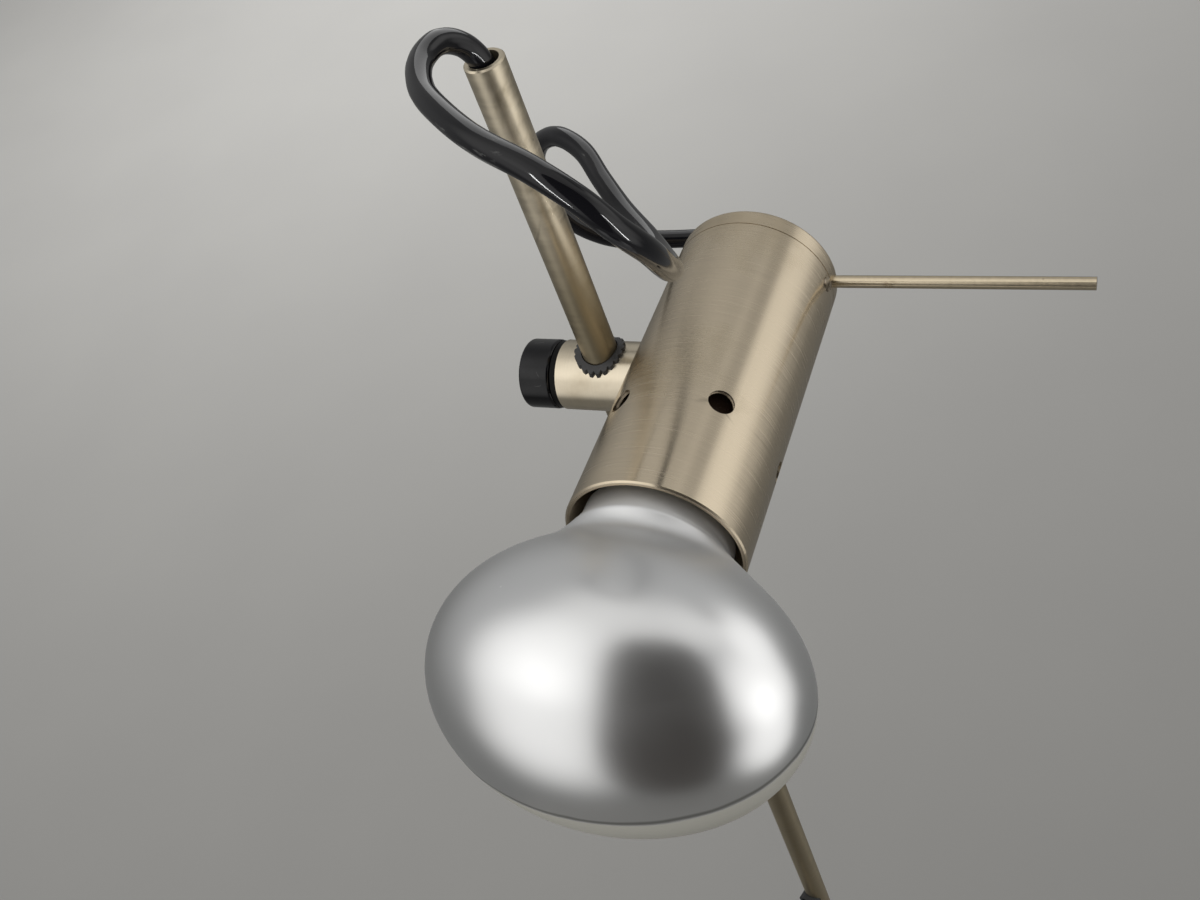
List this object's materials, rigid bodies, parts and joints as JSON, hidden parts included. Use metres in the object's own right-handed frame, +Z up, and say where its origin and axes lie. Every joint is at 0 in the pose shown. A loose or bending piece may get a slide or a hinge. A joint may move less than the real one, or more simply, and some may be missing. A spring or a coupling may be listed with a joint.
{
  "type": "clamp lamp",
  "caption": "Table clamp lamp: an upright tube carries a tubular head with a side-silvered bulb that slides, swivels and tilts on a knob-locked cross barrel.",
  "frame": {"origin": "on the table top under the stem's axis, on the underside of the upper jaw's pad", "axes": "+Z up along the stem, +X along the cross barrel towards the head, the bulb points along -Y and the clamp opens towards -Y"},
  "size_m": [0.2186, 0.2345, 0.6718],
  "materials": {
    "nickel": "satin nickel plate, brushed round the tube",
    "stem_nickel": "nickel plate, tarnished towards bronze",
    "screw_steel": "plain turned steel",
    "brass": "plain brass",
    "gloss_black": "glossy black plastic",
    "black_plastic": "satin black plastic",
    "rubber": "matt black rubber",
    "cord": "black flexible sheath with pale scuffs",
    "bulb_glass": "silvered inside on the upper half, frosted white below"
  },
  "bodies": {
    "stand": {"clamp_bracket": "nickel", "jaw_pad": "rubber", "stem_socket": "nickel", "socket_screw": "screw_steel", "socket_grub": "screw_steel", "stem": "stem_nickel", "cord_grommet": "black_plastic", "cord_riser": "cord", "cord_loop_stem": "cord", "cord_lead": "cord", "switch_bottom": "black_plastic", "switch_top": "black_plastic", "cord_link": "cord", "cord_coil": "cord", "cord_tail": "cord", "plug_body": "black_plastic", "plug_pin_left": "brass", "plug_pin_right": "brass"},
    "foot": {"clamp_foot": "nickel", "foot_pad": "rubber"},
    "spindle": {"clamp_spindle": "screw_steel", "clamp_knob": "gloss_black"},
    "liner": {"stem_liner": "black_plastic", "cord_loop_turn": "cord"},
    "barrel": {"barrel": "nickel", "bush_top": "black_plastic", "bush_bottom": "black_plastic", "knob_ring": "black_plastic", "pivot_washer": "screw_steel", "pivot_nut": "screw_steel", "cord_loop_head": "cord"},
    "lock_pad": {"pressure_pad": "black_plastic"},
    "lock_knob": {"knob_stud": "screw_steel", "lock_knob": "gloss_black"},
    "head": {"head_tube": "nickel", "end_cap": "nickel", "cap_screw_1": "screw_steel", "cap_screw_2": "screw_steel", "cap_screw_3": "screw_steel", "aiming_rod": "stem_nickel", "cord_gland": "black_plastic", "nipple": "screw_steel", "nipple_nut": "screw_steel", "holder_body": "black_plastic", "holder_shell": "brass", "holder_contact": "brass", "bulb_glass": "bulb_glass", "bulb_base": "brass", "bulb_insulator": "black_plastic", "bulb_contact": "brass"},
    "slider": {"switch_slider": "gloss_black"}
  },
  "joints": [
    {"name": "clamp_travel", "type": "slide", "parent": "stand", "child": "foot", "axis": [0, 0, 1], "range_m": [-0.012, 0.027]},
    {"name": "clamp_screw", "type": "hinge", "parent": "foot", "child": "spindle", "pos_m": [0, -0.034, -0.1], "axis": [0, 0, 1], "range_deg": [-2881, 6481]},
    {"name": "height", "type": "slide", "parent": "stand", "child": "liner", "axis": [0, 0, 1], "range_m": [-0.12, 0.07], "deforming": ["cord_loop_stem", "cord_loop_turn", "cord_loop_head"]},
    {"name": "swivel", "type": "hinge", "parent": "liner", "child": "barrel", "pos_m": [0, 0, 0.436], "axis": [0, 0, 1], "range_deg": [-90, 90], "deforming": ["cord_loop_turn", "cord_loop_stem", "cord_loop_head"]},
    {"name": "tilt", "type": "hinge", "parent": "barrel", "child": "head", "pos_m": [0, 0, 0.436], "axis": [1, 0, 0], "range_deg": [-60, 60], "deforming": ["cord_loop_head", "cord_loop_turn", "cord_loop_stem"]},
    {"name": "lock_travel", "type": "slide", "parent": "barrel", "child": "lock_pad", "axis": [-1, 0, 0], "range_m": [0, 0.0015]},
    {"name": "lock_turn", "type": "hinge", "parent": "lock_pad", "child": "lock_knob", "pos_m": [-0.02, 0, 0.436], "axis": [-1, 0, 0], "range_deg": [0, 541]},
    {"name": "switch_slide", "type": "slide", "parent": "stand", "child": "slider", "axis": [0, 1, 0], "range_m": [0, 0.005]}
  ],
  "couplings": [
    {"joint": "clamp_screw", "follows": "clamp_travel", "rad_per_m": 4188.8},
    {"joint": "lock_turn", "follows": "lock_travel", "rad_per_m": 6283.2}
  ]
}
